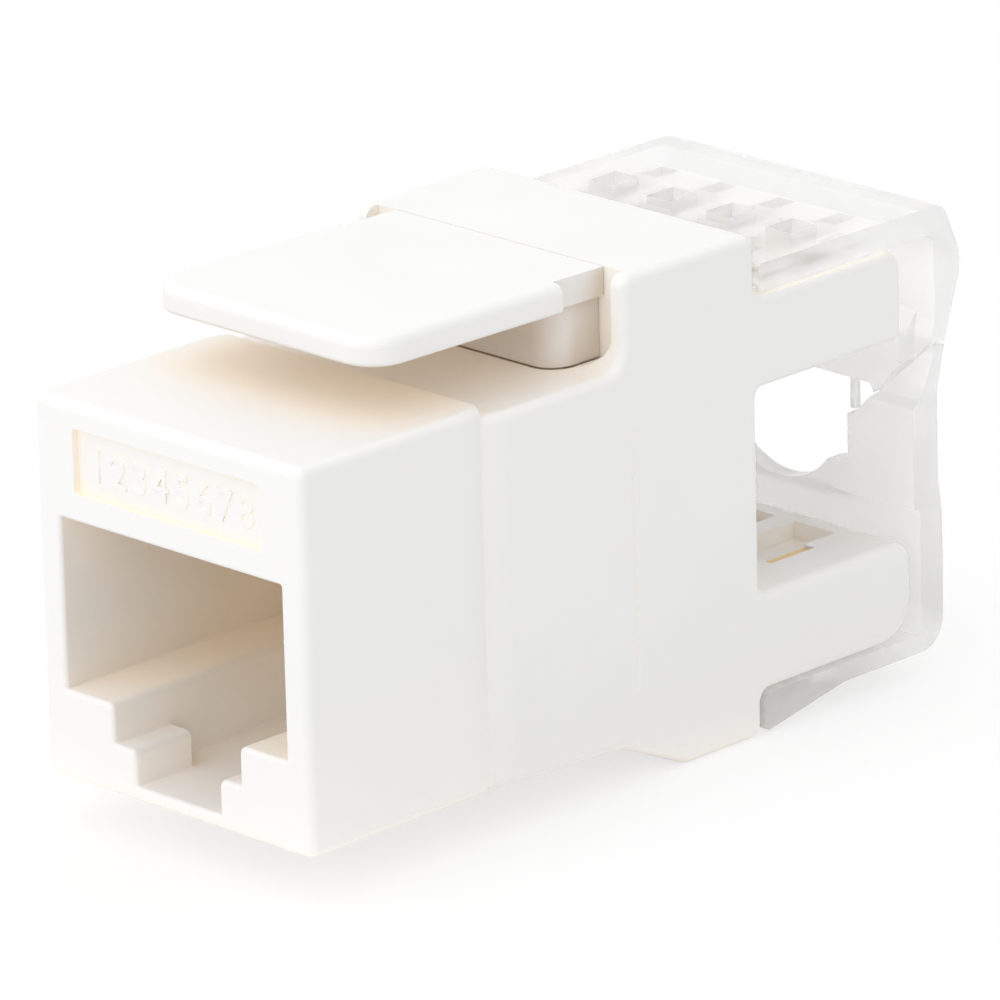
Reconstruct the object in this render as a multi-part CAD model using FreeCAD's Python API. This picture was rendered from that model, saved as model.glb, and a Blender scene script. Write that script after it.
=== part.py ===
# Keystone jack for an 8-position modular plug, with tool-free wire caps at the rear.
# Millimetres. X runs across, Y from the front face to the rear, Z up.
# The origin is the middle of the front face's lower edge.
import FreeCAD, Part
import math
import os

os.makedirs("parts", exist_ok=True)
V = FreeCAD.Vector

# ---- Driving dimensions ----

# Clearances
seat_gap = 0.10          # between pieces that are fitted together and stay put
slide_gap = 0.10         # between a cap and what it lifts off
running_gap = 0.05       # radial, between the latch's bead and its groove
hinge_gap = 0.04         # between the latch's rear face and its pocket

# Body
body_width = 14.5
block_height = 18.65     # of the whole body, at the raised block
front_drop = 3.25        # from the block's top down to the front shell's
front_length = 9.7
deck_drop = 0.45         # the rear housing's deck is this much lower than the front shell's
block_start = 17.2       # y of the raised block's front face
block_length = 7.35
edge_round = 0.4
valley_depth = 0.28      # the shallow valley at the seam between the two mouldings
valley_reach = 1.25
corner_cove = 1.0        # where the deck turns up into the block
block_root_round = 0.5   # between the block's rear face and the combs' outer faces
block_top_round = 0.5
underside_drop = 0.3     # how far the rear housing's underside falls before the hook
hook_lead = 0.3          # the hook's ramp starts this far ahead of the block
hook_ramp_length = 3.4
hook_depth = 1.85

# Plug port
port_side_wall = 1.25    # beside the port, out to the body's side
port_roof = 4.76         # over the port, up to the front's upper edge
port_mouth_round = 0.2
shoulder_top = 3.7       # the plug's body slides on the two shoulders
slot_width = 6.9         # for the plug's tab, between the shoulders
slot_floor = 0.65
tab_rib_gap = 4.6        # between the two ribs that the plug's tab snaps behind
tab_rib_top = 2.1
tab_rib_length = 2.95
port_depth = 11.9
step_round = 0.3

# Label recess in the front face
label_side_margin = 2.15
label_top_margin = 1.0
label_sill = 1.11        # between the port and the recess
label_depth = 0.3

# Rear housing's inner space
side_wall = 0.75
floor_height = 0.85
deck_wall = 0.95
core_depth = 3.3         # hollow behind the board, between the two rows of contacts
core_margin = 1.0

# Combs: the upper and lower wire holders behind the block
upper_comb_drop = 2.5    # from the block's top to the upper comb's
upper_comb_height = 3.8
upper_comb_length = 8.25
lower_comb_height = 4.05
lower_comb_length = 8.6
comb_bend_round = 1.0    # wires bend over this
lower_comb_heel_round = 1.7
window_corner_round = 0.4
window_edge_round = 0.2  # the upper comb's lower rear edge
wire_pitch = 3.2
wire_groove_width = 1.3
wire_groove_depth = 2.3
comb_pocket_start = 1.35 # shallow pockets in the combs' facing sides, from the block's rear face
comb_pocket_length = 5.75
comb_pocket_wall = 0.3   # left between these pockets and the contacts' slots
outer_pocket_width = 2.2
inner_pocket_width = 1.15
end_notch_width = 1.1
end_notch_depth = 0.35
side_line_height = 10.6  # fine mould line on each side of the block
side_line_bottom = 1.95
side_line_width = 0.12
side_line_depth = 0.04

# Wire contacts
strip = 0.4              # thickness of the contact strip
fork_width = 1.9
fork_span = 3.3          # from the first fork's face to the second fork's far face
fork_start = 2.9         # behind the block's rear face
fork_slot = 0.3
fork_slot_depth = 2.2
fork_below_top = 0.15    # fork tips stop this far inside the comb's face
fork_foot = 2.9          # depth of the forks' lower ends
lug_length = 2.3         # of the lug under the forks, which shows in the comb's inner face
stem_height = 0.7
stem_inset = 0.4         # from the comb's inner face to the stem
tail_height = 0.5
tail_out = 0.5           # what the tails stand out of the board's far side

# Spring contacts
contact_pitch = 1.02
contact_width = 0.36
contact_thickness = 0.3
contact_bend = 0.65
contact_front = 2.75     # y of the foremost point of the bend
contact_run_rise = 0.71  # from the port's top up to the run along the ceiling
contact_run_step = 2.1   # between the two rows of tails
contact_tip_drop = 3.35  # from the run down to the free tips
contact_tip_depth = 0.7  # how far the tips stand inside the carrier's finger slots
contact_slot_gap = 0.07
contact_step = 2.3       # from the board to where the lower tails turn up
finger_slot_depth = 1.2

# Contact carrier and board
carrier_tongue_width = 9.4
carrier_tongue_sink = 0.35 # from the contacts' run down to the tongue's underside
carrier_tongue_height = 1.5
carrier_tongue_front = 2.0
board_thickness = 1.2
board_set_back = 0.3     # from the block's front face
board_margin = 0.1

# Latch
paddle_inset = 1.1       # from the body's side to the paddle's
paddle_front = 5.0
neck_length = 2.8        # from the paddle's shoulders to the pocket's back
paddle_thickness = 1.15
paddle_corner = 1.6
paddle_rise = 0.2        # the paddle's front stands this much above the block's top
neck_inset = 1.65        # where the paddle runs back to the block's top
latch_stem_inset = 1.95
stem_depth = 2.55        # from the stem's front to the pocket's back
stem_corner = 1.1
latch_pocket_wall = 0.65
latch_pocket_reach = 0.7 # behind the block's front face
latch_pocket_round = 1.3
latch_relief = 0.35      # depth of the relief under the stem, for its swing
relief_margin = 0.08
foot_gap = 0.05          # from the deck up to the stem's foot
bead_radius = 0.6
bead_rise = 0.05         # of the bead's middle over the deck
bead_back = 0.6          # from the pocket's back to the bead's middle
bead_inset = 0.3         # from the stem's side to the bead's end

# Caps
cap_plate = 1.15
wall_reach = 2.0         # from the combs' ends to the outer face of the caps' walls
upper_wall = 0.55
upper_wall_bulge = 0.9
upper_wall_foot = 11.75
upper_foot_swell = 0.15
tongue_wall = 1.55       # the upper wall is thicker where it hangs over the cable
tongue_side_inset = 0.95
tongue_foot_inset = 2.55
nib_width = 0.14         # the point at each end of the tongue's lower edge
cable_top = 9.83
peg_place = 3.61         # two small pegs under the tongue keep the cable in the middle
peg_width = 0.27
peg_length = 0.3
lower_wall = 1.53
lower_wall_waist = 0.45  # how far the outer face draws in half-way up
lower_wall_heel = 0.24
lower_rim = 0.64         # thickness at the wall's upper edge
pad_depth = 0.32         # thicker band round the cable cradle
pad_bottom = 5.1
pad_top = 9.3
lower_plate = 0.75
lower_plate_heel = 0.85  # how much thicker the lower plate is beside the block
notch_half_width = 3.7
slant_inner = 4.05       # the lower wall's upper edge slants up from here
slant_rim = 0.15         # and ends this far from the cap's side
slant_slope = 1.04
slant_gap = 0.15         # between the caps' slanted edges
cable_bottom = 5.05
cradle_radius = 3.3
cradle_half_width = 2.6
cradle_shoulder = 0.28   # how much the cradle's shoulder rises outwards
cradle_length = 0.43     # along the cable, behind the wall's inner face
cradle_lip = 1.0
cradle_back_half_width = 3.2
cradle_back_drop = 0.45
stuffer_width = 0.9
stuffer_depth = 1.5
well_width = 1.3
well_length = 1.5
cap_corner = 0.8

# ---- Derived places ----

half = body_width / 2
front_height = block_height - front_drop
deck = front_height - deck_drop
port_half = half - port_side_wall
port_top = front_height - port_roof
label_half = half - label_side_margin
label_bottom = port_top + label_sill
label_top = front_height - label_top_margin

block_end = block_start + block_length
hook_ramp_start = block_start - hook_lead
upper_comb_top = block_height - upper_comb_drop
upper_comb_bottom = upper_comb_top - upper_comb_height
upper_comb_end = block_end + upper_comb_length
lower_comb_end = block_end + lower_comb_length

inner_half = half - side_wall
inner_top = deck - deck_wall
board_start = block_start + board_set_back
board_end = board_start + board_thickness
inner_end = board_end + tail_out + seat_gap
carrier_end = board_start - tail_out - seat_gap
contact_run_height = port_top + contact_run_rise
contact_lower_run = contact_run_height - contact_run_step
contact_tip_height = contact_run_height - contact_tip_drop
tongue_bottom = contact_run_height - carrier_tongue_sink
tongue_top = tongue_bottom + carrier_tongue_height

latch_pocket_end = block_start + latch_pocket_reach
latch_rear = latch_pocket_end - hinge_gap
paddle_top = block_height + paddle_rise
paddle_end = latch_pocket_end - neck_length
neck_half = half - neck_inset
stem_half = half - latch_stem_inset
stem_front = latch_pocket_end - stem_depth
bead_height = deck + bead_rise
bead_place = latch_pocket_end - bead_back
bead_half_length = stem_half - bead_inset

wall_outside = max(upper_comb_end, lower_comb_end) + wall_reach
lower_wall_inside = wall_outside - lower_wall
lower_wall_top = upper_wall_foot - slide_gap
slant_outer = half - slant_rim
tongue_half = half - tongue_foot_inset
nib_place = tongue_half + nib_width
tongue_inside = wall_outside - tongue_wall

valley_radius = (valley_reach ** 2 + valley_depth ** 2) / (2 * valley_depth)
wire_places = [wire_pitch * (k - 1.5) for k in range(4)]
contact_places = [contact_pitch * (k - 3.5) for k in range(8)]


# ---- Shape helpers ----

def box(x0, x1, y0, y1, z0, z1):
    return Part.makeBox(x1 - x0, y1 - y0, z1 - z0, V(x0, y0, z0))


def side_place(y, z):
    return V(0, y, z)


def plan_place(x, y):
    return V(x, y, 0)


def front_place(x, z):
    return V(x, 0, z)


def outline(corners, place):
    """Closed face through the corners (a, b, radius), each rounded by its radius."""
    flat = [V(a, b, 0) for a, b, radius in corners]
    starts = []
    middles = []
    ends = []
    count = len(corners)
    for k in range(count):
        here = flat[k]
        back = (flat[k - 1] - here).normalize()
        ahead = (flat[(k + 1) % count] - here).normalize()
        radius = corners[k][2]
        opening = back.getAngle(ahead)
        reach = radius / math.tan(opening / 2)
        starts.append(here + back * reach)
        ends.append(here + ahead * reach)
        bisector = (back + ahead).normalize()
        centre_away = radius / math.sin(opening / 2)
        middles.append(here + bisector * (centre_away - radius))
    edges = []
    for k in range(count):
        start = place(starts[k].x, starts[k].y)
        end = place(ends[k].x, ends[k].y)
        if corners[k][2] > 0:
            middle = place(middles[k].x, middles[k].y)
            edges.append(Part.Arc(start, middle, end).toShape())
        following = starts[(k + 1) % count]
        next_start = place(following.x, following.y)
        if end.distanceToPoint(next_start) > 1e-6:
            edges.append(Part.LineSegment(end, next_start).toShape())
    return Part.Face(Part.Wire(edges))


def across(face, half_width):
    """Extrude a side outline symmetrically in X."""
    face.translate(V(-half_width, 0, 0))
    return face.extrude(V(2 * half_width, 0, 0))


def both_sides(shape):
    return shape.fuse(shape.mirror(V(0, 0, 0), V(1, 0, 0)))


def round_edges(shape, radius, chosen):
    edges = [edge for edge in shape.Edges if chosen(edge)]
    return shape.makeFillet(radius, edges)


def on_plane(edge, axis, value):
    low = getattr(edge.BoundBox, axis + "Min")
    high = getattr(edge.BoundBox, axis + "Max")
    return abs(low - value) < 1e-4 and abs(high - value) < 1e-4


def save(name, shape):
    solid = shape.removeSplitter()
    if solid.ShapeType != "Solid":
        solid = solid.Solids[0] if len(solid.Solids) == 1 else solid
    solid.exportStep("parts/" + name + ".step")
    print(f"{name:20s} solids {len(solid.Solids)} valid {solid.isValid()} volume {solid.Volume:9.3f}")
    return solid


# ---- Front shell: plug port, label recess and two rear tongues ----

def make_front_shell():
    seam_half = half - valley_depth
    bend = front_length - valley_reach / 2
    plan = outline([
        (-half, 0, 0),
        (half, 0, 0),
        (half, bend, valley_radius),
        (seam_half, front_length, 0),
        (-seam_half, front_length, 0),
        (-half, bend, valley_radius),
    ], plan_place)
    shell = plan.extrude(V(0, 0, front_height))

    def outer_edge(edge):
        if on_plane(edge, "Y", front_length):
            return False
        return on_plane(edge, "Y", 0) or on_plane(edge, "Z", 0) or on_plane(edge, "Z", front_height)

    shell = round_edges(shell, edge_round, outer_edge)

    # The port, with two ribs beside its mouth that narrow the foot of the slot
    slot_half = slot_width / 2
    rib_half = tab_rib_gap / 2
    walls = [
        (-port_half, shoulder_top, 0.1),
        (-port_half, port_top, 0.1),
        (port_half, port_top, 0.1),
        (port_half, shoulder_top, 0.1),
        (slot_half, shoulder_top, step_round),
    ]
    plain_foot = [
        (slot_half, slot_floor, 0.1),
        (-slot_half, slot_floor, 0.1),
    ]
    ribbed_foot = [
        (slot_half, tab_rib_top, 0.1),
        (rib_half, tab_rib_top, step_round),
        (rib_half, slot_floor, 0.1),
        (-rib_half, slot_floor, 0.1),
        (-rib_half, tab_rib_top, step_round),
        (-slot_half, tab_rib_top, 0.1),
    ]
    last = [(-slot_half, shoulder_top, step_round)]
    mouth = outline(walls + ribbed_foot + last, front_place)
    mouth.translate(V(0, -1, 0))
    shell = shell.cut(mouth.extrude(V(0, tab_rib_length + 1, 0)))

    def mouth_edge(edge):
        inside = abs(edge.CenterOfMass.x) < port_half + 0.1 and edge.CenterOfMass.z < port_top + 0.1
        return on_plane(edge, "Y", 0) and inside and edge.CenterOfMass.z > slot_floor - 0.1

    shell = round_edges(shell, port_mouth_round, mouth_edge)
    port = outline(walls + plain_foot + last, front_place)
    port.translate(V(0, tab_rib_length, 0))
    shell = shell.cut(port.extrude(V(0, front_length, 0)))

    tongue_pocket_half = carrier_tongue_width / 2 + seat_gap
    pocket_front = carrier_tongue_front - seat_gap
    shell = shell.cut(box(-tongue_pocket_half, tongue_pocket_half, pocket_front, front_length + 1,
                          port_top - 1, tongue_top + seat_gap))

    label = box(-label_half, label_half, -1, label_depth, label_bottom, label_top)
    shell = shell.cut(round_edges(label, 0.2, lambda e: e.BoundBox.YLength > label_depth))

    tongue_outer = inner_half - seat_gap
    tongue_floor = floor_height + seat_gap
    tongue_end = port_depth - seat_gap
    side = box(port_half, tongue_outer, front_length - 0.5, tongue_end, tongue_floor, port_top)
    shoulder = box(slot_half, tongue_outer, front_length - 0.5, tongue_end, tongue_floor, shoulder_top)
    return shell.fuse(both_sides(side.fuse(shoulder)))


# ---- Combs: places measured from a comb's outer face inwards ----

def comb_box(upper, x0, x1, y0, y1, depth0, depth1):
    if upper:
        return box(x0, x1, y0, y1, upper_comb_top - depth1, upper_comb_top - depth0)
    return box(x0, x1, y0, y1, depth0, depth1)


def comb_height(upper):
    return upper_comb_height if upper else lower_comb_height


def comb_end(upper):
    return upper_comb_end if upper else lower_comb_end


def pocket_span(place):
    """The shallow pocket lies beside the contact's lug, towards the middle."""
    near = abs(place) - strip / 2 - seat_gap
    width = outer_pocket_width if abs(place) > wire_pitch else inner_pocket_width
    return (near - width, near) if place > 0 else (-near, width - near)


def comb_cuts(upper):
    cuts = []
    height = comb_height(upper)
    first = block_end + fork_start
    last = first + fork_span
    groove = wire_groove_width / 2
    slot = fork_width / 2 + seat_gap
    lug = strip / 2 + seat_gap
    pocket_start = block_end + comb_pocket_start
    pocket_floor = fork_foot + seat_gap + comb_pocket_wall
    for place in wire_places:
        cuts.append(comb_box(upper, place - groove, place + groove, block_end, comb_end(upper) + 1,
                             -1, wire_groove_depth))
        cuts.append(comb_box(upper, place - slot, place + slot, first - seat_gap, last + seat_gap,
                             -1, fork_foot + seat_gap))
        cuts.append(comb_box(upper, place - lug, place + lug, first - seat_gap,
                             first + lug_length + seat_gap, fork_foot, height + 1))
        cuts.append(comb_box(upper, place - lug, place + lug, inner_end - 1, first,
                             height - stem_inset - stem_height - seat_gap, height - stem_inset + seat_gap))
        x0, x1 = pocket_span(place)
        cuts.append(comb_box(upper, x0, x1, pocket_start, pocket_start + comb_pocket_length,
                             pocket_floor, height + 1))
    return cuts


# ---- Rear housing: deck, block, hook and the two combs, in one moulding ----

def stem_plan(margin, rear):
    return outline([
        (-stem_half - margin, stem_front - margin, stem_corner + margin),
        (stem_half + margin, stem_front - margin, stem_corner + margin),
        (stem_half + margin, rear, 0),
        (-stem_half - margin, rear, 0),
    ], plan_place)


def make_rear_housing():
    seam_half = half - valley_depth
    bend = front_length + valley_reach / 2
    far = lower_comb_end + 5
    side = outline([
        (front_length, 0, 0),
        (hook_ramp_start, -underside_drop, 3.0),
        (hook_ramp_start + hook_ramp_length, -hook_depth, 1.5),
        (block_end, -hook_depth, 0.6),
        (block_end, 0, block_root_round),
        (lower_comb_end, 0, lower_comb_heel_round),
        (lower_comb_end, lower_comb_height, comb_bend_round),
        (block_end, lower_comb_height, window_corner_round),
        (block_end, upper_comb_bottom, window_corner_round),
        (upper_comb_end, upper_comb_bottom, window_edge_round),
        (upper_comb_end, upper_comb_top, comb_bend_round),
        (block_end, upper_comb_top, block_root_round),
        (block_end, block_height, block_top_round),
        (block_start, block_height, block_top_round),
        (block_start, deck, corner_cove),
        (front_length, deck, 0),
    ], side_place)
    plan = outline([
        (-seam_half, front_length, 0),
        (seam_half, front_length, 0),
        (half, bend, valley_radius),
        (half, far, 0),
        (-half, far, 0),
        (-half, bend, valley_radius),
    ], plan_place)
    plan.translate(V(0, 0, -5))
    housing = across(side, half).common(plan.extrude(V(0, 0, block_height + 10)))

    def side_loop_edge(edge):
        bounds = edge.BoundBox
        at_side = bounds.XMin > seam_half - 1e-4 or bounds.XMax < -seam_half + 1e-4
        upright_near_seam = bounds.YLength < 1e-4 and bounds.YMax < block_start - corner_cove - 0.5
        return at_side and not upright_near_seam

    housing = round_edges(housing, edge_round, side_loop_edge)

    # Space for the carrier and the board, and the hollow behind the board
    housing = housing.cut(box(-inner_half, inner_half, front_length - 1, inner_end, floor_height, inner_top))
    core_half = inner_half - core_margin
    housing = housing.cut(box(-core_half, core_half, inner_end - 0.5, inner_end + core_depth,
                              lower_comb_height + core_margin, upper_comb_bottom - core_margin))

    # Pocket, relief and groove for the latch
    pocket_half = half - latch_pocket_wall
    pocket = outline([
        (-pocket_half, deck, latch_pocket_round),
        (pocket_half, deck, latch_pocket_round),
        (pocket_half, block_height + 1, 0),
        (-pocket_half, block_height + 1, 0),
    ], front_place)
    pocket.translate(V(0, block_start - corner_cove - 0.1, 0))
    housing = housing.cut(pocket.extrude(V(0, latch_pocket_end - block_start + corner_cove + 0.1, 0)))
    relief = stem_plan(relief_margin, latch_pocket_end)
    relief.translate(V(0, 0, deck - latch_relief))
    housing = housing.cut(relief.extrude(V(0, 0, latch_relief + 1)))
    groove_half = bead_half_length + seat_gap
    groove = Part.makeCylinder(bead_radius + running_gap, 2 * groove_half,
                               V(-groove_half, bead_place, bead_height), V(1, 0, 0))
    housing = housing.cut(groove)

    for upper in (True, False):
        for cut in comb_cuts(upper):
            housing = housing.cut(cut)

    # Notches for the wire ends in the block's rear edge
    for place in wire_places:
        notch = end_notch_width / 2
        housing = housing.cut(box(place - notch, place + notch, block_end - end_notch_depth, block_end + 0.1,
                                  upper_comb_top, block_height + 1))

    # Fine mould line on each side
    line = box(half - side_line_depth, half + 1, block_start + 0.35, block_start + 0.35 + side_line_width,
               side_line_bottom, side_line_bottom + side_line_height)
    return housing.cut(both_sides(line))


# ---- Latch: paddle and stem, swinging about the bead at the stem's foot ----

def make_latch():
    side = outline([
        (paddle_front, paddle_top - paddle_thickness, 0),
        (paddle_front, paddle_top, 0),
        (latch_rear, block_height, 0),
        (latch_rear, block_height - paddle_thickness, 0),
    ], side_place)
    paddle_half = half - paddle_inset
    plan = outline([
        (-paddle_half, paddle_front, paddle_corner),
        (paddle_half, paddle_front, paddle_corner),
        (paddle_half, paddle_end, 0),
        (neck_half, paddle_end, 0),
        (neck_half, latch_rear, 0),
        (-neck_half, latch_rear, 0),
        (-neck_half, paddle_end, 0),
        (-paddle_half, paddle_end, 0),
    ], plan_place)
    paddle = across(side, half).common(plan.extrude(V(0, 0, 2 * block_height)))
    middle_height = block_height - paddle_thickness / 2

    def rim_edge(edge):
        bounds = edge.BoundBox
        level = bounds.ZLength < 0.5
        return level and bounds.YMin < paddle_end - 1 and bounds.YMax < latch_rear - 1e-4

    paddle = round_edges(paddle, edge_round, lambda e: rim_edge(e) and e.CenterOfMass.z > middle_height)
    paddle = round_edges(paddle, edge_round / 2, lambda e: rim_edge(e) and e.CenterOfMass.z < middle_height)

    foot = deck + foot_gap
    stem = stem_plan(0, latch_rear)
    stem.translate(V(0, 0, foot))
    stem = stem.extrude(V(0, 0, middle_height - foot))
    bead = Part.makeCylinder(bead_radius, 2 * bead_half_length,
                             V(-bead_half_length, bead_place, bead_height), V(1, 0, 0))
    return paddle.fuse([stem, bead])


# ---- Contact carrier: back wall of the port and the tongue over it ----

def make_contact_carrier():
    wide = inner_half - seat_gap
    body = box(-wide, wide, port_depth, carrier_end, floor_height + seat_gap, inner_top - seat_gap)
    tongue_half = carrier_tongue_width / 2
    tongue = box(-tongue_half, tongue_half, carrier_tongue_front, port_depth + 0.5, tongue_bottom, tongue_top)
    carrier = body.fuse(tongue)
    slot_half = contact_width / 2 + contact_slot_gap
    contact_half = contact_thickness / 2 + 0.03
    for k, place in enumerate(contact_places):
        x0 = place - slot_half
        x1 = place + slot_half
        carrier = carrier.cut(box(x0, x1, contact_front - seat_gap, port_depth + 0.1,
                                  tongue_bottom - 1, contact_run_height + contact_half))
        carrier = carrier.cut(box(x0, x1, port_depth - 0.1, carrier_end + 1,
                                  contact_run_height - contact_half, inner_top))
        carrier = carrier.cut(box(x0, x1, port_depth - 1, port_depth + finger_slot_depth,
                                  contact_tip_height - 1, tongue_bottom + 0.1))
        if k % 2:
            bend_start = board_start - contact_step - contact_bend
            carrier = carrier.cut(box(x0, x1, bend_start, carrier_end + 1,
                                      contact_lower_run - contact_half, inner_top))
    return carrier


# ---- Spring contact: tail in the board, run along the ceiling, bend, free leg ----

def contact_path(k):
    centre = V(0, contact_front + contact_bend, contact_run_height - contact_bend)
    tip = V(0, port_depth + contact_tip_depth, contact_tip_height)
    away = tip - centre
    leg_angle = math.atan2(away.z, away.y) - math.acos(contact_bend / away.Length)
    leaving = centre + V(0, math.cos(leg_angle), math.sin(leg_angle)) * contact_bend
    top = centre + V(0, 0, contact_bend)
    front_angle = (math.pi / 2 + leg_angle + 2 * math.pi) / 2
    foremost = centre + V(0, math.cos(front_angle), math.sin(front_angle)) * contact_bend
    tail = board_end + tail_out
    edges = []
    if k % 2:
        small = contact_bend
        turn = board_start - contact_step
        low = contact_lower_run
        high = contact_run_height
        slant = small * (1 - math.sqrt(0.5))
        edges.append(Part.LineSegment(V(0, tail, low), V(0, turn + small, low)).toShape())
        edges.append(Part.Arc(V(0, turn + small, low), V(0, turn + slant, low + slant),
                              V(0, turn, low + small)).toShape())
        edges.append(Part.LineSegment(V(0, turn, low + small), V(0, turn, high - small)).toShape())
        edges.append(Part.Arc(V(0, turn, high - small), V(0, turn - slant, high - slant),
                              V(0, turn - small, high)).toShape())
        edges.append(Part.LineSegment(V(0, turn - small, high), top).toShape())
    else:
        edges.append(Part.LineSegment(V(0, tail, contact_run_height), top).toShape())
    edges.append(Part.Arc(top, foremost, leaving).toShape())
    edges.append(Part.LineSegment(leaving, tip).toShape())
    return Part.Wire(edges)


def make_spring_contact(k):
    path = contact_path(k)
    start = path.Vertexes[0].Point
    x0 = -contact_width / 2
    z0 = start.z - contact_thickness / 2
    section = Part.makePolygon([
        V(x0, start.y, z0),
        V(-x0, start.y, z0),
        V(-x0, start.y, z0 + contact_thickness),
        V(x0, start.y, z0 + contact_thickness),
        V(x0, start.y, z0),
    ])
    contact = path.makePipeShell([section], True, False)
    contact.translate(V(contact_places[k], 0, 0))
    return contact


# ---- Circuit board with a hole for every tail ----

def tail_height_of(upper):
    depth = comb_height(upper) - stem_inset - stem_height / 2
    return upper_comb_top - depth if upper else depth


def make_circuit_board():
    wide = inner_half - board_margin
    board = box(-wide, wide, board_start, board_end, floor_height + board_margin, inner_top - board_margin)
    spring_hole = math.hypot(contact_width, contact_thickness) / 2 + running_gap
    wire_hole = math.hypot(strip, tail_height) / 2 + running_gap
    holes = []
    for k, place in enumerate(contact_places):
        height = contact_lower_run if k % 2 else contact_run_height
        holes.append((place, height, spring_hole))
    for upper in (True, False):
        for place in wire_places:
            holes.append((place, tail_height_of(upper), wire_hole))
    for x, z, radius in holes:
        hole = Part.makeCylinder(radius, board_thickness + 2, V(x, board_start - 1, z), V(0, 1, 0))
        board = board.cut(hole)
    return board


# ---- Wire contact: two forks standing on a base, with a lug and a stem to the board ----

def make_idc_contact(place, upper):
    height = comb_height(upper)
    lug0 = place - strip / 2
    lug1 = place + strip / 2
    wide = fork_width / 2
    first = block_end + fork_start
    last = first + fork_span
    contact = comb_box(upper, place - wide, place + wide, first, last, fork_foot - strip, fork_foot)
    contact = contact.fuse(comb_box(upper, lug0, lug1, first, first + lug_length,
                                    fork_foot - strip / 2, height - seat_gap))
    for face in (first, last - strip):
        blade = comb_box(upper, place - wide, place + wide, face, face + strip, fork_below_top, fork_foot)
        blade = blade.cut(comb_box(upper, place - fork_slot / 2, place + fork_slot / 2, face - 1, face + 2,
                                   -1, fork_below_top + fork_slot_depth))
        contact = contact.fuse(blade)
    stem_face = height - stem_inset
    contact = contact.fuse(comb_box(upper, lug0, lug1, board_end + seat_gap, first + strip,
                                    stem_face - stem_height, stem_face))
    middle = stem_face - stem_height / 2
    return contact.fuse(comb_box(upper, lug0, lug1, board_start - tail_out, board_end + 2 * seat_gap,
                                 middle - tail_height / 2, middle + tail_height / 2))


# ---- Clear wire caps: a plate over the comb and a rear wall round the cable ----

def slant_height(x):
    """Height of the lower cap's slanted wall edge at the distance x from the middle."""
    return lower_wall_top - (slant_outer - x) * slant_slope


def cap_stuffers(upper):
    stuffers = []
    near = block_end + 6 * slide_gap
    first = block_end + fork_start - 3 * slide_gap
    last = block_end + fork_start + fork_span + 3 * slide_gap
    far = comb_end(upper) - comb_bend_round / 2
    width = stuffer_width / 2
    for place in wire_places:
        for y0, y1 in ((near, first), (last, far)):
            stuffers.append(comb_box(upper, place - width, place + width, y0, y1,
                                     -2 * slide_gap, stuffer_depth))
    return stuffers


def cap_wells(upper):
    middle = block_end + fork_start + fork_span / 2
    wide = well_width / 2
    long = well_length / 2
    reach = cap_plate + 1
    return [comb_box(upper, place - wide, place + wide, middle - long, middle + long, -reach, 0)
            for place in wire_places]


def make_upper_cap():
    plate_bottom = upper_comb_top + slide_gap
    plate_top = plate_bottom + cap_plate
    near = block_end + slide_gap
    inside = wall_outside - upper_wall
    low = cable_top - 1
    side = outline([
        (near, plate_bottom, block_root_round - slide_gap),
        (near, plate_top, 0.3),
        (wall_outside, plate_top, cap_corner),
        (wall_outside + 1.2 * upper_wall_bulge, (plate_top + upper_wall_foot) / 2 + 0.3, 2.0),
        (wall_outside, upper_wall_foot, 1.0),
        (wall_outside, low, 0),
        (inside - upper_foot_swell, low, 0),
        (inside - upper_foot_swell, upper_wall_foot + 0.4, 0.3),
        (inside, upper_wall_foot + 0.9, 0.3),
        (inside, plate_bottom, 0.3),
    ], side_place)
    tongue_side = outline([
        (wall_outside - 0.2, low, 0),
        (tongue_inside, low, 0),
        (tongue_inside, upper_wall_foot, 0.3),
        (inside + 0.2, upper_wall_foot + 1.4, 0),
        (wall_outside - 0.2, upper_wall_foot + 1.4, 0),
    ], side_place)
    body = across(side, half).fuse(across(tongue_side, half - tongue_side_inset))

    # The lower edge: a foot at each side, a slant, a nib and the tongue's edge over the cable
    foot_half = slant_outer - (lower_wall_top + slant_gap - upper_wall_foot) / slant_slope
    nib_bottom = slant_height(nib_place) + slant_gap
    front = outline([
        (-half, upper_wall_foot, 0),
        (-foot_half, upper_wall_foot, 0),
        (-nib_place, nib_bottom, 0),
        (-tongue_half, cable_top, 0),
        (tongue_half, cable_top, 0),
        (nib_place, nib_bottom, 0),
        (foot_half, upper_wall_foot, 0),
        (half, upper_wall_foot, 0),
        (half, plate_top + 1, 0),
        (-half, plate_top + 1, 0),
    ], front_place)
    cap = body.common(front.extrude(V(0, 2 * lower_comb_end, 0)))
    peg_end = peg_place + peg_width
    peg = box(peg_place, peg_end, tongue_inside, tongue_inside + peg_length,
              slant_height(max(slant_inner, peg_end)) + slide_gap, cable_top + 0.2)
    cap = cap.fuse(both_sides(peg))
    for well in cap_wells(True):
        cap = cap.cut(well)
    return cap.fuse(cap_stuffers(True))


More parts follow.
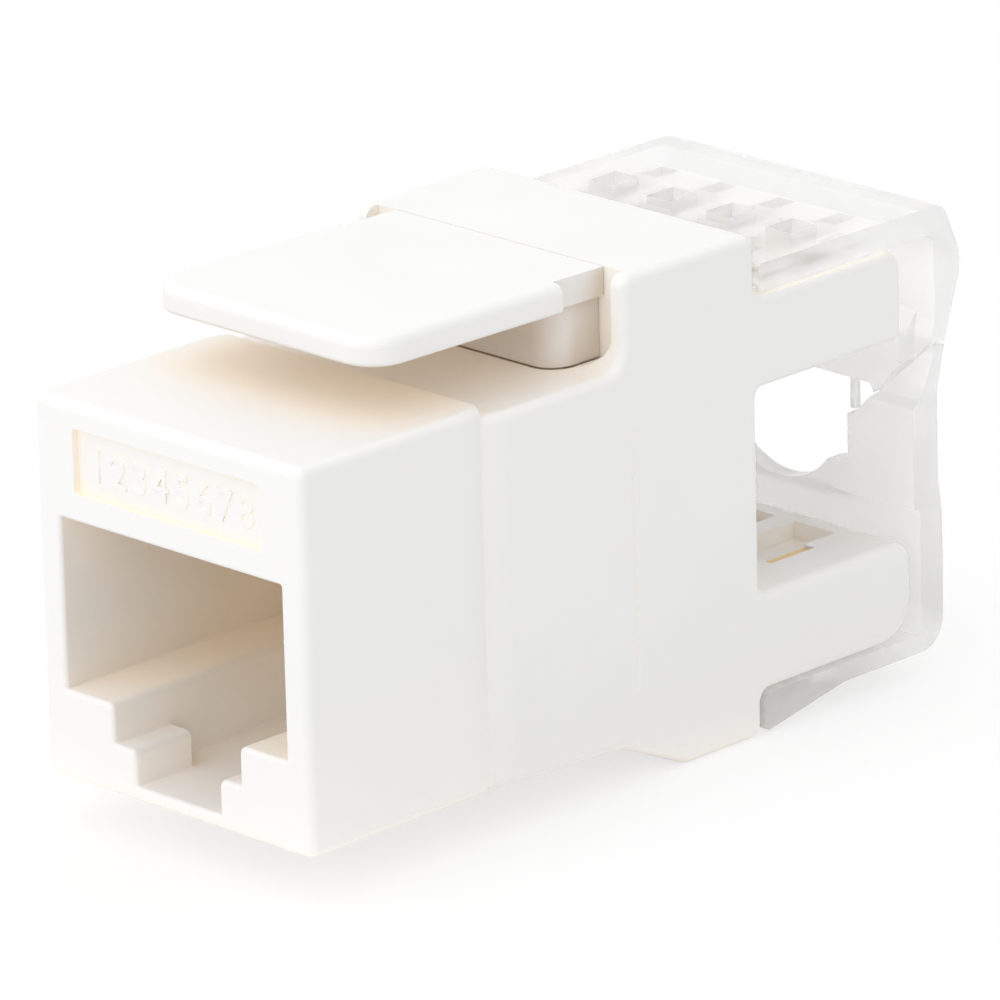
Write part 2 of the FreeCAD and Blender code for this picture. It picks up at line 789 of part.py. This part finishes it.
def make_lower_cap():
    plate_top = -slide_gap
    plate_bottom = plate_top - lower_plate
    near = block_end + slide_gap
    inside = lower_wall_inside
    waist = wall_outside - lower_wall_waist
    pad_inside = inside - pad_depth
    rim_inside = wall_outside - lower_rim
    side = outline([
        (near, plate_top, block_root_round - slide_gap),
        (near, plate_bottom - lower_plate_heel, 0.2),
        (near + 4.5, plate_bottom, 3.0),
        (wall_outside - lower_wall_heel, plate_bottom, 1.3),
        (wall_outside - lower_wall_heel, pad_bottom - 0.5, 1.0),
        (waist, pad_bottom + 1.0, 1.0),
        (waist, pad_top + 0.5, 1.5),
        (wall_outside, lower_wall_top, 0.1),
        (rim_inside, lower_wall_top, 0.1),
        (rim_inside, lower_wall_top - 0.35, 0.2),
        (inside + 0.13, pad_top + 0.3, 0.2),
        (pad_inside, pad_top, 0.1),
        (pad_inside, pad_bottom, 0.1),
        (inside, pad_bottom, 0.1),
        (inside, plate_top, 0.3),
    ], side_place)
    cap = across(side, half)

    # The band reaches down round the cradle as a lip
    centre = cable_bottom + cradle_radius
    lip = Part.makeCylinder(cradle_radius + cradle_lip, pad_depth + 0.2, V(0, pad_inside, centre), V(0, 1, 0))
    cap = cap.fuse(lip.common(box(-half, half, pad_inside, wall_outside, plate_top, centre)))

    # The opening for the cable: slanted edges, an upright notch and the cradle at its foot
    reach = 2 * lower_comb_end
    shoulder = centre - math.sqrt(cradle_radius ** 2 - cradle_half_width ** 2)
    notch_edge = slant_height(slant_inner)
    over = lower_wall_top + 5
    right = [
        (cradle_half_width, shoulder, 0),
        (notch_half_width, shoulder + cradle_shoulder, 0.1),
        (notch_half_width, notch_edge, 0.1),
        (slant_inner, notch_edge, 0.2),
        (slant_outer, lower_wall_top, 0),
        (slant_outer, over, 0),
    ]
    left = [(-x, z, radius) for x, z, radius in reversed(right)]
    cap = cap.cut(outline(right + left, front_place).extrude(V(0, reach, 0)))
    cap = cap.cut(Part.makeCylinder(cradle_radius, reach, V(0, 0, centre), V(0, 1, 0)))
    cap = cap.cut(box(-cradle_back_half_width, cradle_back_half_width, inside + cradle_length, reach,
                      cable_bottom - cradle_back_drop, centre))

    # The wall stays clear of the tongue above it
    clear_half = nib_place + slant_gap
    cap = cap.cut(box(-clear_half, clear_half, tongue_inside - slant_gap, reach,
                      cable_top - slant_gap, over))
    for well in cap_wells(False):
        cap = cap.cut(well)
    return cap.fuse(cap_stuffers(False))


# ---- The pieces ----

save("front_shell", make_front_shell())
save("rear_housing", make_rear_housing())
save("latch", make_latch())
save("contact_carrier", make_contact_carrier())
save("circuit_board", make_circuit_board())
for k in range(8):
    save(f"spring_contact_{k + 1}", make_spring_contact(k))
for k, place in enumerate(wire_places):
    save(f"idc_contact_{k + 1}", make_idc_contact(place, True))
    save(f"idc_contact_{k + 5}", make_idc_contact(place, False))
save("upper_cap", make_upper_cap())
save("lower_cap", make_lower_cap())
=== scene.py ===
import math

import bpy
from mathutils import Matrix, Vector


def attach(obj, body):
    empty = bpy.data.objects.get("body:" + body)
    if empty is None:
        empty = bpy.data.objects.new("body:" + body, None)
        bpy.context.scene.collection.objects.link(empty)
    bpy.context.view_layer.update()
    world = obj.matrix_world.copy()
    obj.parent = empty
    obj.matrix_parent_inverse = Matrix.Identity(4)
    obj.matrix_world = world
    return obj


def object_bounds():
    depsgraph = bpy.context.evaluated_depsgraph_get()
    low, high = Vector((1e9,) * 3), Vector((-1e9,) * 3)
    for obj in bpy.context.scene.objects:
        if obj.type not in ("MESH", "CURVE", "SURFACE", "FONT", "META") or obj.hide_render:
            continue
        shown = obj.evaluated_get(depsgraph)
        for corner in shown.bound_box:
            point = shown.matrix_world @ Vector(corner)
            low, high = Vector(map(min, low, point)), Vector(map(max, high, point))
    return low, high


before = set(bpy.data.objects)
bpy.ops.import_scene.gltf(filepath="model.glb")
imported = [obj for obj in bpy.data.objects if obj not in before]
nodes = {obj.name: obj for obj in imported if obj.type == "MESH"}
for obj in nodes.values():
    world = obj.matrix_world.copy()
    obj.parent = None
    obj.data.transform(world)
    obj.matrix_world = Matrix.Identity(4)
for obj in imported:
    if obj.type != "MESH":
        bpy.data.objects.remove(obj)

MM = 0.001
packed_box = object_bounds()


# ---- Front shell ----
# One injection moulding in satin off-white ABS: the plug port, its two shoulders and the label recess.
# Its two rear tongues slide into the rear housing, where small snaps hold them.

NOISE_SPAN = (0.3, 0.7)         # where nearly all values of a noise texture lie
SHELTER_SAMPLES = 4
OPEN_SKY = (0.5, 0.85)          # occlusion from a place that gets the full painted recess shading to one that gets none
UNDERSIDE = (5.0, 1.0)          # heights in mm between which the painted recess shading turns into the paler underside tint
UNDERSIDE_PAINTED_SHADING = (0.985, 0.935, 0.875, 1)
FLOW_SCALE = 0.22
FLOW_SHADES = (0.985, 1.0)
GRAIN_GLOSS = (0.92, 1.08)      # shares of the roughness between which the grain takes it
GRAIN_STRENGTH = 0.35

WHITE = (0.80, 0.797, 0.79)
# painted light: the shell's recesses are painted lighter and warmer than WHITE, for the light that comes
# through its walls
PAINTED_RECESS_GLOW = (0.99, 0.90, 0.775)
WALL_GLOW = (0.64, 0.57, 0.49)  # share of the lamps' light that a white wall lets through


def feed(tree, socket, value):
    """Link a socket to another node's output, or set it to a constant."""
    if isinstance(value, bpy.types.NodeSocket):
        tree.links.new(value, socket)
    else:
        socket.default_value = value


def add_node(tree, kind, settings, values):
    """A new node with its settings made and its inputs fed."""
    node = tree.nodes.new(kind)
    for name, setting in settings.items():
        setattr(node, name, setting)
    for name, value in values.items():
        feed(tree, node.inputs[name], value)
    return node


def millimetres(tree):
    """Object coordinates in millimetres, so that texture scales read as features to the millimetre."""
    place = add_node(tree, "ShaderNodeTexCoord", {}, {})
    scaled = add_node(tree, "ShaderNodeVectorMath", {"operation": "SCALE"},
                      {0: place.outputs["Object"], "Scale": 1 / MM})
    return scaled.outputs["Vector"]


def add_noise(tree, place, scale, detail):
    values = {"Vector": place, "Scale": scale, "Detail": detail}
    return add_node(tree, "ShaderNodeTexNoise", {}, values).outputs["Fac"]


def add_range(tree, value, span, low, high, curve="LINEAR"):
    """Low and high where the value reaches the two ends of span, and a curve in between."""
    values = {"Value": value, "From Min": span[0], "From Max": span[1], "To Min": low, "To Max": high}
    return add_node(tree, "ShaderNodeMapRange", {"interpolation_type": curve}, values).outputs["Result"]


def add_maths(tree, operation, first, second):
    return add_node(tree, "ShaderNodeMath", {"operation": operation}, {0: first, 1: second}).outputs[0]


def add_mix(tree, factor, first, second, blend="MIX"):
    """The first colour, turning into the second as the factor rises."""
    settings = {"data_type": "RGBA", "blend_type": blend}
    values = {"Factor": factor, "A": first, "B": second}
    return add_node(tree, "ShaderNodeMix", settings, values).outputs["Result"]


def add_bump(tree, height, strength, distance):
    values = {"Height": height, "Strength": strength, "Distance": distance}
    return add_node(tree, "ShaderNodeBump", {}, values).outputs["Normal"]


def blend_shaders(tree, factor, first, second):
    """End the material in the first shader, turning into the second as the factor rises."""
    blend = add_node(tree, "ShaderNodeMixShader", {}, {0: factor, 1: first, 2: second})
    feed(tree, tree.nodes["Material Output"].inputs["Surface"], blend.outputs["Shader"])


def skin_and_painted_shading():
    """Moulded plastic: soft flow mottle, a fine spark-eroded grain, and painted shading in recesses.
    Where ambient occlusion finds a recess, the colour turns to a given tint: a lighter one paints the light
    that has gone through the plastic many times, and a darker one paints shade."""
    tree = bpy.data.node_groups.new("skin_and_painted_shading", "ShaderNodeTree")
    for title, kind, value in [("Colour", "Color", (0.8, 0.8, 0.8, 1)),
                               ("Painted Recess Shading", "Color", (0.6, 0.5, 0.4, 1)),
                               ("Painted Shading Reach", "Float", 0.005),
                               ("Grain Scale", "Float", 8.0),
                               ("Roughness", "Float", 0.4)]:
        socket = tree.interface.new_socket(title, in_out="INPUT", socket_type=f"NodeSocket{kind}")
        socket.default_value = value
    for title, kind in [("Colour", "Color"), ("Roughness", "Float"), ("Height", "Float")]:
        tree.interface.new_socket(title, in_out="OUTPUT", socket_type=f"NodeSocket{kind}")
    given = tree.nodes.new("NodeGroupInput").outputs
    place = millimetres(tree)

    # Painted shading: ambient occlusion finds the recesses, which take the recess tint in place of the
    # plain colour.
    shelter = add_node(tree, "ShaderNodeAmbientOcclusion", {"samples": SHELTER_SAMPLES},
                       {"Distance": given["Painted Shading Reach"]})
    openness = add_range(tree, shelter.outputs["AO"], OPEN_SKY, 0, 1, "SMOOTHSTEP")
    # Towards the bottom, the painted recess tint turns into the paler underside tint.
    height = add_node(tree, "ShaderNodeSeparateXYZ", {}, {"Vector": place}).outputs["Z"]
    lowness = add_range(tree, height, UNDERSIDE, 0, 1, "SMOOTHSTEP")
    recess = add_mix(tree, lowness, given["Painted Recess Shading"], UNDERSIDE_PAINTED_SHADING)
    painted_shading = add_mix(tree, openness, recess, given["Colour"])

    flow = add_range(tree, add_noise(tree, place, FLOW_SCALE, 3), NOISE_SPAN, *FLOW_SHADES)
    grey = add_node(tree, "ShaderNodeCombineColor", {}, {"Red": flow, "Green": flow, "Blue": flow})
    grain = add_noise(tree, place, given["Grain Scale"], 2)
    gloss = add_range(tree, grain, NOISE_SPAN, *GRAIN_GLOSS)
    add_node(tree, "NodeGroupOutput", {}, {
        "Colour": add_mix(tree, 1.0, painted_shading, grey.outputs["Color"], "MULTIPLY"),
        "Roughness": add_maths(tree, "MULTIPLY", given["Roughness"], gloss),
        "Height": grain,
    })
    return tree


def new_material(name):
    material = bpy.data.materials.new(name)
    material.use_nodes = True
    return material, material.node_tree, material.node_tree.nodes["Principled BSDF"]


def pass_lamp_light(tree, shader, colour):
    """Lamp light goes on through the surface, weakened and tinted."""
    path = tree.nodes.new("ShaderNodeLightPath")
    through = add_node(tree, "ShaderNodeBsdfTransparent", {}, {"Color": (*colour, 1)})
    blend_shaders(tree, path.outputs["Is Shadow Ray"], shader.outputs["BSDF"], through.outputs["BSDF"])


def white_plastic(name, colour, painted_recess_shading, painted_shading_reach, grain_scale, roughness, grain_height):
    material, tree, shader = new_material(name)
    surface = add_node(tree, "ShaderNodeGroup", {"node_tree": skin}, {
        "Colour": (*colour, 1),
        "Painted Recess Shading": (*painted_recess_shading, 1),
        "Painted Shading Reach": painted_shading_reach,
        "Grain Scale": grain_scale,
        "Roughness": roughness,
    }).outputs
    shader.inputs["IOR"].default_value = 1.5
    shader.inputs["Specular IOR Level"].default_value = 0.35
    feed(tree, shader.inputs["Base Color"], surface["Colour"])
    feed(tree, shader.inputs["Roughness"], surface["Roughness"])
    feed(tree, shader.inputs["Normal"], add_bump(tree, surface["Height"], GRAIN_STRENGTH, grain_height))
    pass_lamp_light(tree, shader, WALL_GLOW)
    return material


def finish_node(name, material):
    """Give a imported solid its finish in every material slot."""
    for slot in nodes[name].material_slots:
        slot.material = material


skin = skin_and_painted_shading()
# The shell's recesses, the port most of all, take a lighter, warmer painted light.
shell_plastic = white_plastic("shell_plastic", WHITE, PAINTED_RECESS_GLOW, 8 * MM, 7.0, 0.42, 0.004 * MM)
finish_node("front_shell", shell_plastic)


# ---- Numerals in the label recess ----
# Eight plain raised numerals, one for each contact of the port, standing on the recess's floor.
# They are part of the shell's moulding and have its finish.

LABEL_FLOOR = 0.3 * MM          # behind the front face
LABEL_MIDDLE = 13.05 * MM       # over the front face's lower edge
NUMERAL_HEIGHT = 1.25 * MM
NUMERAL_PITCH = 1.15 * MM
NUMERAL_RELIEF = 0.06 * MM
NUMERAL_EDGE = 0.02 * MM
FONT_DIGIT_HEIGHT = 0.69        # share of the font's size

for k in range(8):
    text = bpy.data.curves.new(f"label_numeral_{k + 1}", "FONT")
    text.body = str(k + 1)
    text.align_x = "CENTER"
    text.size = NUMERAL_HEIGHT / FONT_DIGIT_HEIGHT
    text.extrude = NUMERAL_RELIEF
    text.bevel_depth = NUMERAL_EDGE
    text.bevel_resolution = 1
    text.resolution_u = 6
    numeral = bpy.data.objects.new(text.name, text)
    numeral.rotation_euler = (math.radians(90), 0, 0)
    numeral.location = ((k - 3.5) * NUMERAL_PITCH, LABEL_FLOOR, LABEL_MIDDLE - NUMERAL_HEIGHT / 2)
    bpy.context.collection.objects.link(numeral)
    text.materials.append(shell_plastic)
    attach(numeral, "jack_body")


# ---- Rear housing ----
# The second large moulding: the deck, the block, the hook and the two combs that hold the wires.
# It comes from another tool than the shell, so its surface is a shade smoother.

# Its recesses, such as the deck under the latch paddle, take a lighter, warmer painted light.
housing_plastic = white_plastic("housing_plastic", WHITE, (0.98, 0.93, 0.86), 4 * MM, 6.0, 0.40, 0.004 * MM)
finish_node("rear_housing", housing_plastic)


# ---- Latch ----
# The sprung paddle that a thumb presses to free the jack from its opening, on a short stem.
# Its surface is the smoothest of the white ones, and its recesses get a darker, warmer painted shade.

latch_plastic = white_plastic("latch_plastic", WHITE, (0.70, 0.63, 0.55), 4 * MM, 7.0, 0.36, 0.003 * MM)
finish_node("latch", latch_plastic)


# ---- Contact carrier ----
# The insert that closes the back of the port and guides the eight spring contacts in its slots.
# It is moulded in a slightly warmer, heat-resistant plastic.

# Its recesses take a warmer painted light.
carrier_plastic = white_plastic("carrier_plastic", (0.94, 0.86, 0.74), (0.97, 0.84, 0.68), 5 * MM, 7.0, 0.5,
                                0.004 * MM)
finish_node("contact_carrier", carrier_plastic)


# ---- Circuit board ----
# Glass-fibre board under green solder mask; it joins the spring contacts' tails to the wire contacts.
# The weave of the glass shows faintly through the mask.

MASK_DARK = (0.015, 0.10, 0.045, 1)
MASK_LIGHT = (0.03, 0.17, 0.08, 1)


def board_mask():
    material, tree, shader = new_material("board_mask")
    wave = {"Vector": millimetres(tree), "Scale": 0.7, "Distortion": 0.6}
    strands = [add_node(tree, "ShaderNodeTexWave", {"bands_direction": direction}, wave).outputs["Fac"]
               for direction in ("X", "Z")]
    weave = add_maths(tree, "MULTIPLY", *strands)
    shader.inputs["Roughness"].default_value = 0.28
    shader.inputs["Coat Weight"].default_value = 0.4
    feed(tree, shader.inputs["Base Color"], add_mix(tree, weave, MASK_DARK, MASK_LIGHT))
    feed(tree, shader.inputs["Normal"], add_bump(tree, weave, 0.3, 0.01 * MM))
    return material


finish_node("circuit_board", board_mask())


# ---- Spring contacts ----
# Eight bent phosphor-bronze wires with gold plating, drawn, so fine lines run along them.
# Their bends show at the port's ceiling, and a plug's blades press on their free legs.

STREAK_SCALE = 3.0
STREAK_GLOSS = (1.25, 0.8)      # shares of the roughness from the dark streaks to the light ones


def drawn_metal(name, colour, dark_colour, roughness, lines):
    material, tree, shader = new_material(name)
    stretched = add_node(tree, "ShaderNodeMapping", {}, {"Vector": millimetres(tree), "Scale": lines})
    streak = add_noise(tree, stretched.outputs["Vector"], STREAK_SCALE, 4)
    rough, smooth = (roughness * share for share in STREAK_GLOSS)
    shader.inputs["Metallic"].default_value = 1.0
    feed(tree, shader.inputs["Base Color"], add_mix(tree, streak, (*dark_colour, 1), (*colour, 1)))
    feed(tree, shader.inputs["Roughness"], add_range(tree, streak, NOISE_SPAN, rough, smooth))
    return material


gold_plate = drawn_metal("gold_plate", (0.94, 0.70, 0.30), (0.78, 0.53, 0.20), 0.22, (9, 0.4, 9))
for k in range(8):
    finish_node(f"spring_contact_{k + 1}", gold_plate)


# ---- Wire contacts ----
# Eight stamped forks that cut through a wire's insulation and grip it, four in each comb.
# Their lugs show as thin bronze lines in the shallow pockets of the combs.

stamped_bronze = drawn_metal("stamped_bronze", (0.80, 0.58, 0.28), (0.55, 0.36, 0.15), 0.34, (1.5, 1.5, 6))
for k in range(8):
    finish_node(f"idc_contact_{k + 1}", stamped_bronze)


# ---- Wire caps ----
# Two clear polycarbonate caps that press the wires into the forks and close round the cable.
# The gloss is slightly uneven, as on any clear moulding, and part of the light goes through unbent.

def clear_plastic():
    material, tree, shader = new_material("clear_plastic")
    ripple = add_noise(tree, millimetres(tree), 0.5, 2)
    shader.inputs["Base Color"].default_value = (0.985, 0.985, 0.987, 1)
    shader.inputs["Transmission Weight"].default_value = 0.6
    shader.inputs["Alpha"].default_value = 0.72
    shader.inputs["IOR"].default_value = 1.4
    feed(tree, shader.inputs["Roughness"], add_range(tree, ripple, NOISE_SPAN, 0.12, 0.2))
    feed(tree, shader.inputs["Normal"], add_bump(tree, ripple, 0.15, 0.02 * MM))
    pass_lamp_light(tree, shader, (0.96, 0.96, 0.96))
    return material


cap_plastic = clear_plastic()
for name in ("upper_cap", "lower_cap"):
    finish_node(name, cap_plastic)


# ---- Table, light and camera ----
# A plain white table top under soft light from above and from the front, as in a small light tent.

TABLE_HALF = 3.0
TABLE_DROP = 0.02 * MM          # under the jack's lowest face
TABLE_GLOW = 0.7                # how much of the table's look is plain white where it is seen
TENT_LIGHT = 0.95               # of the world on surfaces
TENT_WHITE = 1.0                # of the world where it is seen
LAMPS = [
    # name, direction from the jack, distance, size, watts
    ("lamp_above", (-0.2, -0.3, 1.0), 0.32, 0.34, 0.26),
    ("lamp_front", (0.05, -1.0, 0.6), 0.34, 0.30, 0.20),
]
AZIMUTH = math.radians(45.2)
ELEVATION = math.radians(18.92)
ROLL = math.radians(-1.5)
CAMERA_PLACE = (267.35 * MM, -247.92 * MM, 137.23 * MM)
LENS = 370.8
SENSOR_WIDTH = 36

scene = bpy.context.scene
low, high = packed_box
middle = (Vector(low) + Vector(high)) / 2


def seen_directly(tree):
    """1 for rays that look at the surface, straight or by way of gloss or glass."""
    path = tree.nodes.new("ShaderNodeLightPath").outputs
    seen = path["Is Camera Ray"]
    for kind in ("Is Glossy Ray", "Is Transmission Ray"):
        seen = add_maths(tree, "MAXIMUM", seen, path[kind])
    return seen


corners = [(x * TABLE_HALF, y * TABLE_HALF, 0) for x, y in ((-1, -1), (1, -1), (1, 1), (-1, 1))]
mesh = bpy.data.meshes.new("table_top")
mesh.from_pydata(corners, [], [(0, 1, 2, 3)])
table = bpy.data.objects.new("table_top", mesh)
table.location = (0, 0, low[2] - TABLE_DROP)
bpy.context.collection.objects.link(table)

table_white, tree, shader = new_material("table_white")
shader.inputs["Base Color"].default_value = (0.9, 0.9, 0.9, 1)
shader.inputs["Roughness"].default_value = 0.9
shader.inputs["Specular IOR Level"].default_value = 0.1
glow = tree.nodes.new("ShaderNodeEmission")
blend_shaders(tree, add_maths(tree, "MULTIPLY", seen_directly(tree), TABLE_GLOW),
              shader.outputs["BSDF"], glow.outputs["Emission"])
mesh.materials.append(table_white)

world = bpy.data.worlds.new("light_tent")
scene.world = world
world.use_nodes = True
tree = world.node_tree
sky = tree.nodes["Background"]
sky.inputs["Color"].default_value = (1, 1, 1, 1)
feed(tree, sky.inputs["Strength"], add_range(tree, seen_directly(tree), (0, 1), TENT_LIGHT, TENT_WHITE))

for name, direction, distance, size, watts in LAMPS:
    data = bpy.data.lights.new(name, "AREA")
    data.shape = "DISK"
    data.size = size
    data.energy = watts
    lamp = bpy.data.objects.new(name, data)
    away = Vector(direction).normalized()
    lamp.location = middle + away * distance
    lamp.rotation_mode = "QUATERNION"
    lamp.rotation_quaternion = away.to_track_quat("Z", "Y")
    bpy.context.collection.objects.link(lamp)

back = Vector((math.sin(AZIMUTH) * math.cos(ELEVATION), -math.cos(AZIMUTH) * math.cos(ELEVATION),
               math.sin(ELEVATION)))
right = Vector((math.cos(AZIMUTH), math.sin(AZIMUTH), 0))
up = back.cross(right)
camera_x = right * math.cos(ROLL) + up * math.sin(ROLL)
camera_y = up * math.cos(ROLL) - right * math.sin(ROLL)
camera_data = bpy.data.cameras.new("camera")
camera_data.sensor_width = SENSOR_WIDTH
camera_data.lens = LENS
camera_data.clip_start = 0.01
camera_data.clip_end = 20
camera = bpy.data.objects.new("camera", camera_data)
turn = Matrix((camera_x, camera_y, back)).transposed().to_4x4()
camera.matrix_world = Matrix.Translation(CAMERA_PLACE) @ turn
bpy.context.collection.objects.link(camera)
scene.camera = camera
scene.view_settings.view_transform = "Standard"
scene.cycles.glossy_bounces = 12
scene.cycles.max_bounces = 16
